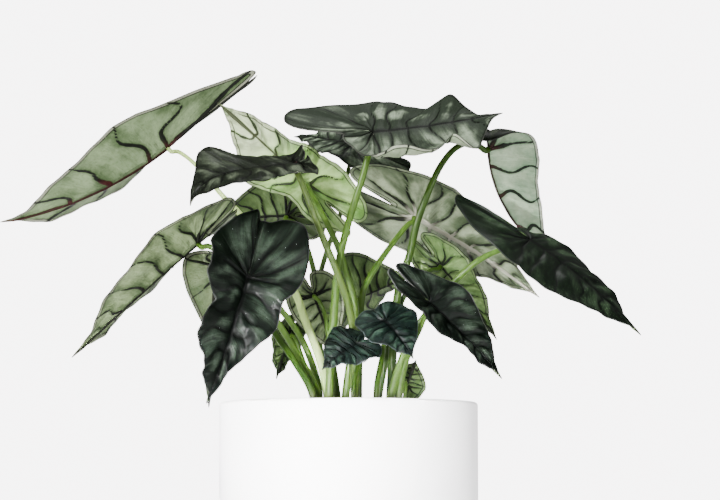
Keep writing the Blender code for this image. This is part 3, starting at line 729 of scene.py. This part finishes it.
def addLeaf(changes):
    first, *others = changes["node"].split("_")
    piece = first + "".join(word.capitalize() for word in others)
    leaf = {**plainLeaf, **changes, "piece": piece}
    makePetiole(leaf, makeBlade(leaf))
    print("leaf", piece)


upperLeft = {
    "node": "upper_left", "under": "sage", "petiole": "cream",
    "veinWidth": 1.3, "veinStep": 1.5, "wrinkle": 0.7,
    "attach": (-115, 20, 312), "tip": (-222, 30, 266), "facing": (-.33, .55, .8),
    "width": 36, "lobe": 74, "notch": .10, "slim": 1.15, "lobeSlim": .4, "droop": -38,
    "fold": (12, 40), "tipFold": (-20, -45), "lobeFold": (10, 10),
    "route": ((-12, 4), (-13, 3, 154), (-18, 1, 177), (-27, -2, 201), (-36, -5, 223), (-65, 0, 264),
              (-80, 10, 281), (-96, 18, 300), (-107, 20, 309)),
    "radii": (2.9, 1.2),
}
addLeaf(upperLeft)

young = {
    "node": "young", "slot": "young_blade", "upper": "lime", "under": "lime",
    "veinWidth": 0.8, "ribWidth": 0.9, "veinStep": 1.5, "wrinkle": 1.2,
    "attach": (-26, 10, 287), "tip": (-83, 12, 340), "facing": (-.3, .8, .5),
    "width": 25, "lobe": 42, "slim": 1.2, "lobeDroop": -25,
    "nips": ((leftSide, 2.2, 1.8, .4), (rightSide, 0, 1.3, .4), (rightSide, 2.2, .8, -.2)),
    "fold": (28, 5), "lobeFold": (-10, 40), "tipFold": (-25, 0), "wave": 2.5, "waves": 4, "puff": 1.6,
    "route": ((-3, 9), (-2, 9, 154), (4, 2, 206), (-2, -1, 231), (-6, -3, 245), (-13, -4, 260),
              (-22, 0, 278)),
    "radii": (2.7, 1.7),
}
addLeaf(young)

darkLeft = {
    "node": "dark_left", "slot": "blade_dark_side", "under": "sage", "petiole": "olive",
    "veinWidth": 1.1, "wrinkle": 1.3,
    "attach": (-32, -32, 295), "tip": (-96, -50, 267), "facing": (-.3, -.55, .8),
    "lobe": 11, "slim": 1.3, "droop": 5, "tipDroop": 80, "lobeDroop": -100,
    "lifts": ((rightSide, 2.6, 1.1, 5),),
    "nips": ((leftSide, 1.6, 1.2, -.25), (leftSide, 3.8, 1.4, -.75), (rightSide, 3.5, 1.7, -.8)),
    "fold": (8, -10), "tipFold": (0, 30),
    "route": ((4, -7), (4, -8, 154), (2, -18, 199), (-6, -26, 226), (-15, -30, 248), (-29, -32, 284)),
    "radii": (2.9, 1.8),
}
addLeaf(darkLeft)

top = {
    "node": "top", "slot": "blade_dark_side", "upper": "bronze", "under": "pale", "petiole": "middle",
    "attach": (15, -10, 318), "tip": (96, -10, 330), "facing": (.1, -.5, .85),
    "width": 46, "lobe": 55, "lobeShare": (1, .35), "notch": .3, "droop": -8, "lobeDroop": -12,
    "fold": (-3, -20), "lobeFold": (0, 58), "hem": (0, 130),
    "lifts": ((leftSide, 3.2, .7, 9), (leftSide, -.8, 1.3, 5), (rightSide, 3.0, .5, 8)),
    "nips": ((rightSide, -1.6, 1.4, .6), (rightSide, 4.1, 1.2, -.9)),
    "route": ((-12, -12), (-12, -12, 154), (-9, -14, 204), (-6, -15, 235), (0, -16, 261), (8, -13, 287),
              (13, -11, 306)),
    "radii": (3.0, 1.9),
}
addLeaf(top)

frontLeft = {
    "node": "front_left", "slot": "blade_dark_side", "upper": "black", "petiole": "green",
    "veinWidth": 1.2, "ribWidth": 1.8, "wrinkle": 1.5,
    "attach": (-60, -70, 222), "tip": (-83, -88, 146), "facing": (.33, -.95, .1),
    "width": 36, "lobe": 46, "notch": .88, "slim": .85, "droop": 25,
    "nips": ((leftSide, -2.0, .7, -.25), (leftSide, .6, .9, .27), (leftSide, 4.0, 1.6, .42),
             (rightSide, -2.2, .7, .7), (rightSide, -1.2, .8, .2), (rightSide, .0, 1.0, .1),
             (rightSide, 1.25, .5, .4), (rightSide, 3.9, 1.3, -.3)),
    "fold": (18, 24), "lobeFold": (0, -45), "wave": 3, "waves": 3.2,
    "route": ((-24, -11), (-22, -11, 154), (-34, -17, 176), (-46, -30, 193), (-56, -50, 212)),
    "radii": (2.6, 1.6),
}
addLeaf(frontLeft)

lowerLeft = {
    "node": "lower_left", "under": "grey", "ribWidth": 1.2,
    "attach": (-93, -22, 247), "tip": (-168, -38, 176), "facing": (-.65, .55, .6),
    "width": 34, "lobe": 34, "notch": .3, "slim": 1.25, "lobeSlim": .8, "droop": 5,
    "fold": (-6, 38), "tipFold": (0, -20),
    "route": ((-21, -2), (-19, -3, 154), (-32, -9, 180), (-50, -16, 208), (-70, -24, 232), (-84, -27, 244)),
    "radii": (2.6, 1.6),
}
addLeaf(lowerLeft)

rearLeft = {
    "node": "rear_left", "under": "dull", "veinStep": 1.5,
    "attach": (-82, -2, 235), "tip": (-86, -14, 146), "facing": (-.3, 1, .1),
    "width": 22, "lobe": 9, "notch": .3, "slim": .8, "nips": ((leftSide, 3.0, 1.5, .85),),
    "route": ((-19, 6), (-19, 7, 160), (-29, 3, 189), (-46, -2, 212), (-64, -7, 228), (-75, -8, 234)),
    "radii": (2.5, 1.5),
}
addLeaf(rearLeft)

innerLeft = {
    "node": "inner_left", "under": "olive", "petiole": "middle", "veinWidth": 0.7,
    "attach": (-40, 41, 271), "tip": (-88, 46, 262), "facing": (-.1, .6, .8),
    "width": 26, "lobe": 24, "notch": .3, "droop": 35, "fold": (30, 5),
    "route": ((-5, 17), (-9, 25, 168), (-17, 33, 210), (-25, 37, 245), (-34, 38, 265)),
    "radii": (2.4, 1.5),
}
addLeaf(innerLeft)

rightBack = {
    "node": "right_back", "under": "silver", "petiole": "middle", "ribWidth": 2.2, "wrinkle": 1.2,
    "attach": (42, 30, 269), "tip": (122, 45, 219), "facing": (.4, .65, .6),
    "width": 34, "lobe": 52, "notch": .3,
    "route": ((7, 8), (6, 9, 160), (8, 12, 213), (13, 14, 229), (24, 19, 246), (36, 24, 262)),
    "radii": (2.7, 1.7),
}
addLeaf(rightBack)

upperRight = {
    "node": "upper_right", "under": "mint", "petiole": "green",
    "veinWidth": 1.2, "veinStep": 1.5, "wrinkle": 0.8,
    "attach": (89, 25, 312), "tip": (136, 40, 241), "facing": (.5, .75, .4),
    "width": 34, "lobe": 36, "notch": .3, "droop": -15, "lobeDroop": 130, "swing": -60,
    "fold": (60, 5), "lobeFold": (-60, 0), "nips": ((rightSide, 4, 1.5, -.15),),
    "route": ((26, 0), (26, 0, 154), (30, -2, 214), (38, -4, 242), (43, -4, 263), (53, -1, 289), (60, 4, 302),
              (68, 10, 311), (78, 17, 315)),
    "radii": (2.9, 1.8),
}
addLeaf(upperRight)

farRight = {
    "node": "far_right", "slot": "blade_dark_side", "upper": "forest", "petiole": "middle",
    "veinWidth": 1.1, "wrinkle": 1.5,
    "attach": (111, -35, 248), "tip": (177, -45, 189), "facing": (.4, -.5, .75),
    "width": 38, "lobe": 52, "notch": .3, "lobeSlim": .7,
    "nips": ((leftSide, .3, 1.2, .22), (rightSide, 2.8, .9, -.22)),
    "fold": (-8, -4), "lobeFold": (-40, 5),
    "route": ((25, -13), (26, -13, 154), (40, -14, 192), (62, -12, 220), (79, -17, 236), (95, -27, 243)),
    "radii": (2.7, 1.7),
}
addLeaf(farRight)

frontRight = {
    "node": "front_right", "slot": "blade_dark_side", "upper": "black", "petiole": "middle",
    "attach": (49, -50, 208), "tip": (92, -60, 162), "facing": (.3, -.64, .7),
    "width": 24, "lobe": 32, "notch": .3, "lobeSlim": .6, "droop": 10, "fold": (20, 20),
    "route": ((32, -23), (31, -23, 154), (36, -28, 177), (44, -40, 195)), "radii": (2.4, 1.5),
}
addLeaf(frontRight)

smallFront = {
    "node": "small_front", "slot": "blade_dark_side", "upper": "teal", "petiole": "green",
    "wrinkle": 0.6,
    "attach": (22, -50, 197), "tip": (39, -60, 174), "facing": (.1, -.7, .7),
    "width": 20, "lobe": 13, "notch": .95, "droop": 25,
    "route": ((17, -22), (17, -22, 154), (18, -26, 164), (21, -37, 180)), "radii": (2.2, 1.4),
}
addLeaf(smallFront)

innerRight = {
    "node": "inner_right", "petiole": "green", "veinWidth": 0.65, "ribWidth": 0.9,
    "attach": (58, 10, 236), "tip": (93, 15, 190), "facing": (.5, .7, .4),
    "width": 18, "lobe": 24,
    "route": ((18, 7), (19, 7, 155), (26, 6, 189), (33, 4, 213), (40, 3, 223), (50, 5, 232)),
    "radii": (2.4, 1.4),
}
addLeaf(innerRight)

smallDark = {
    "node": "small_dark", "slot": "blade_dark_side", "upper": "teal", "petiole": "green",
    "wrinkle": 0.6,
    "attach": (5, -40, 184), "tip": (-16, -50, 168), "facing": (-.2, -.75, .6),
    "width": 19, "lobe": 10, "notch": .5, "droop": 25,
    "route": ((4, -24), (3, -24, 157), (6, -34, 174)), "radii": (2.0, 1.3),
}
addLeaf(smallDark)

rimRight = {
    "node": "rim_right", "upper": "forest", "veinWidth": 0.6, "ribWidth": 0.9, "wrinkle": 0.4,
    "attach": (36, 7, 161), "tip": (42, 10, 177), "facing": (.2, .9, -.2),
    "width": 12, "lobe": 11, "notch": .5,
    "route": ((33, 1), (33, 0, 146), (35, -1, 155)), "radii": (1.6, 1.1),
}
addLeaf(rimRight)

smallBack = {
    "node": "small_back", "upper": "forest", "under": "grey",
    "veinWidth": 0.55, "ribWidth": 0.8, "wrinkle": 0.6,
    "attach": (-22, 20, 218), "tip": (-8, 25, 180), "facing": (-.1, 1, .3),
    "width": 18, "lobe": 15,
    "route": ((-12, 14), (-11, 13, 160), (-14, 12, 200), (-18, 15, 213)), "radii": (1.9, 1.2),
}
addLeaf(smallBack)

centreBack = {
    "node": "centre_back", "upper": "forest", "veinWidth": 0.65, "ribWidth": 0.9,
    "attach": (5, 35, 217), "tip": (39, 50, 233), "facing": (0, .9, .3),
    "lobe": 11, "fold": (50, 5),
    "route": ((3, 24), (3, 24, 160), (3, 28, 200), (4, 31, 211)), "radii": (2.1, 1.3),
}
addLeaf(centreBack)

rimLeft = {
    "node": "rim_left", "upper": "forest", "veinWidth": 0.6, "ribWidth": 0.9, "wrinkle": 0.4,
    "attach": (-37, 30, 194), "tip": (-46, 30, 166), "facing": (-.5, .7, .3),
    "width": 12, "lobe": 12,
    "route": ((-21, 14), (-22, 15, 155), (-31, 22, 184)), "radii": (1.8, 1.2),
}
addLeaf(rimLeft)

topBack = {
    "node": "top_back", "slot": "blade_dark_side", "upper": "ash", "under": "grey", "wrinkle": 0.4,
    "attach": (4, 42, 317), "tip": (-36, 60, 325), "facing": (0, -.55, .8),
    "width": 24, "lobe": 42, "notch": .3, "droop": 10, "lobeFold": (-45, 0),
    "route": ((-8, 32), (-12, 36, 160), (-20, 42, 195), (-20, 46, 225), (-14, 50, 250), (-6, 52, 272),
              (-3, 50, 290), (1, 45, 307)),
    "radii": (2.2, 1.3),
}
addLeaf(topBack)

# Pot and soil

pot = {
    "radius": 80.0, "height": 150.0, "wall": 5.0, "floor": 8.0, "rimRound": 2.2, "footRound": 3.0,
    "steps": 128, "roundSteps": 8, "white": (0.92, 0.915, 0.92), "shade": (0.88, 0.875, 0.88),
}


def arc(centre, radius, start, end):
    angles = np.radians(np.linspace(start, end, pot["roundSteps"] + 1))
    return [(centre[0] + radius * math.cos(a), centre[1] + radius * math.sin(a)) for a in angles]


def paintPot():
    paint = Paint("potWhite")
    place = paint.objectPlace()
    clouds = paint.grain(place, 14, 4)
    colour = paint.mix(pot["white"], pot["shade"], paint.smooth(clouds, 0.3, 0.7, 0, 0.35))
    normal = paint.bump(paint.grain(place, 900, 3), 0.12, 0.0002)
    normal = paint.bump(clouds, 0.1, 0.0006, normal)
    return paint.finish(colour, paint.smooth(clouds, 0.3, 0.7, 0.5, 0.6), normal, Specular_IOR_Level=0.4)


def makePot():
    inner = pot["radius"] - pot["wall"]
    rim, corner = pot["rimRound"], pot["footRound"]
    roundOut = arc((pot["radius"] - rim, pot["height"] - rim), rim, 0, 90)
    roundIn = arc((inner + rim, pot["height"] - rim), rim, 90, 180)
    foot = arc((pot["radius"] - corner, corner), corner, 270, 360)
    profile = [(0, 0)] + foot + roundOut + roundIn + [(inner, pot["floor"]), (0, pot["floor"])]
    work = bmesh.new()
    verts = [work.verts.new((radius * mm, 0, height * mm)) for radius, height in profile]
    edges = [work.edges.new(pair) for pair in zip(verts, verts[1:])]
    bmesh.ops.spin(work, geom=verts + edges, axis=(0, 0, 1), cent=(0, 0, 0), angle=math.tau,
                   steps=pot["steps"], use_merge=True)
    bmesh.ops.remove_doubles(work, verts=work.verts, dist=0.01 * mm)
    bmesh.ops.recalc_face_normals(work, faces=work.faces)
    made = placePiece(work, "potShell", "pot", "pot_white", paintPot())
    made.data.set_sharp_from_angle(angle=math.radians(40))
    print("pot")


soil = {
    "top": 130.0, "gap": 0.3, "rings": 60, "spokes": 160, "sunk": 1.5, "lump": 0.7, "crumb": 0.9,
    "mound": 2.5, "moundReach": 45, "clods": 420, "clodSize": 0.6, "clodGrowth": 1.6, "seed": 4,
    "dark": (0.020, 0.012, 0.008), "brown": (0.085, 0.055, 0.035), "dry": (0.16, 0.12, 0.08),
}


# Lumpy soil, a little higher round the stems, with crumbs on it.
def soilHeight(x, y):
    lumps = math.sin(x / 5.1) * math.cos(y / 6.3) + 0.6 * math.sin((x + y) / 3.7 + 1)
    mound = soil["mound"] * math.exp(-(x * x + y * y) / soil["moundReach"] ** 2)
    crumbs = noise.fractal(Vector((x / 3, y / 3, 0)), 1.0, 2.0, 4)
    return soil["top"] + soil["lump"] * lumps + mound - soil["sunk"] + soil["crumb"] * crumbs


def paintSoil():
    paint = Paint("soilCrumbs")
    place = paint.objectPlace()
    broad = paint.grain(place, 90, 4)
    fine = paint.grain(place, 600, 5, 0.7)
    colour = paint.mix(soil["dark"], soil["brown"], paint.smooth(fine, 0.35, 0.7))
    colour = paint.mix(colour, soil["dry"], paint.smooth(broad, 0.6, 0.75, 0, 0.5))
    normal = paint.bump(fine, 0.9, 0.0012)
    return paint.finish(colour, 0.95, normal, Specular_IOR_Level=0.2)


def makeSoil():
    radius = pot["radius"] - pot["wall"] - soil["gap"]
    floor = pot["floor"] + soil["gap"]
    work = bmesh.new()
    bmesh.ops.create_grid(work, x_segments=soil["rings"], y_segments=soil["spokes"], size=1)
    for vert in work.verts:
        share = (vert.co.x + 1) / 2
        angle = math.pi * vert.co.y
        # The outermost two rings run down the pot's wall and in along its floor.
        ring = round(share * soil["rings"])
        surface = soil["rings"] - 2
        reach = radius * min(ring / surface, 1)
        x, y = reach * math.cos(angle), reach * math.sin(angle)
        height = soilHeight(x, y)
        if ring == surface + 1:
            height = floor
        if ring == surface + 2:
            x, y, height = 0, 0, floor
        vert.co = (x * mm, y * mm, height * mm)
    bmesh.ops.remove_doubles(work, verts=work.verts, dist=0.005 * mm)
    randoms = np.random.default_rng(soil["seed"])
    for _ in range(soil["clods"]):
        reach = (radius - 4) * math.sqrt(randoms.random())
        angle = math.tau * randoms.random()
        size = soil["clodSize"] + soil["clodGrowth"] * randoms.random() ** 2
        x, y = reach * math.cos(angle), reach * math.sin(angle)
        clod = bmesh.ops.create_icosphere(work, subdivisions=1, radius=size * mm)
        for vert in clod["verts"]:
            vert.co *= 0.75 + 0.5 * randoms.random()
            vert.co.z *= 0.7
            vert.co += Vector((x, y, soilHeight(x, y) + 0.2)) * mm
    bmesh.ops.recalc_face_normals(work, faces=work.faces)
    placePiece(work, "soilFill", "soil", "soil", paintSoil())
    print("soil")


makePot()
makeSoil()


# Setting and light

studio = {
    "floorSize": 6, "floorDrop": 0.0005, "floorPale": (0.90, 0.89, 0.895), "floorShade": (0.88, 0.87, 0.875),
    "sky": (0.99, 0.965, 0.97, 1), "skyLight": 0.9, "skySeen": 7.0,
}
# Place and target in metres, size in metres, power in watts and spread in degrees.
lights = {
    "keyLight": ((-0.9, -1.0, 1.1), (0, 0, 0.25), 0.5, 85, 180),
    "fillLight": ((1.1, -1.3, 0.6), (0, 0, 0.2), 0.8, 22, 180),
    "potLight": ((-0.5, -1.5, -0.05), (0, 0, 0.05), 0.3, 4, 12),
    "topLight": ((0.1, 0.3, 1.5), (0, 0, 0.2), 0.7, 22, 180),
}
photoView = {"place": (0.007, -1.6, 0.091), "turn": 95.5, "lens": 128.85, "sensor": 36}


def makeStudio():
    paint = Paint("studioWhite")
    tint = paint.mix(studio["floorPale"], studio["floorShade"], paint.grain(paint.objectPlace(), 2, 2))
    work = bmesh.new()
    bmesh.ops.create_grid(work, x_segments=1, y_segments=1, size=studio["floorSize"])
    floor = meshObject(work, "studioFloor", paint.finish(tint, 0.9))
    floor.location.z = -studio["floorDrop"]
    world = bpy.data.worlds.new("studioWorld")
    bpy.context.scene.world = world
    world.use_nodes = True
    # The backdrop is brighter to the camera than as a light, so that it looks white behind the leaves.
    tree = world.node_tree
    seen = tree.nodes.new("ShaderNodeLightPath").outputs["Is Camera Ray"]
    strength = tree.nodes.new("ShaderNodeMapRange")
    strength.inputs["To Min"].default_value = studio["skyLight"]
    strength.inputs["To Max"].default_value = studio["skySeen"]
    tree.links.new(seen, strength.inputs["Value"])
    sky = tree.nodes["Background"]
    sky.inputs["Color"].default_value = studio["sky"]
    tree.links.new(strength.outputs["Result"], sky.inputs["Strength"])


def addLight(name, place, target, size, power, spread):
    data = bpy.data.lights.new(name, "AREA")
    data.shape = "DISK"
    data.size = size
    data.energy = power
    data.spread = math.radians(spread)
    light = addObject(name, data)
    light.location = place
    light.rotation_euler = (Vector(place) - Vector(target)).to_track_quat("Z", "Y").to_euler()


def addCamera():
    data = bpy.data.cameras.new("photoCamera")
    data.sensor_width = photoView["sensor"]
    data.lens = photoView["lens"]
    camera = addObject("photoCamera", data)
    camera.location = photoView["place"]
    camera.rotation_euler = (math.radians(photoView["turn"]), 0, 0)
    bpy.context.scene.camera = camera


makeStudio()
for name, values in lights.items():
    addLight(name, *values)
addCamera()

print("done")
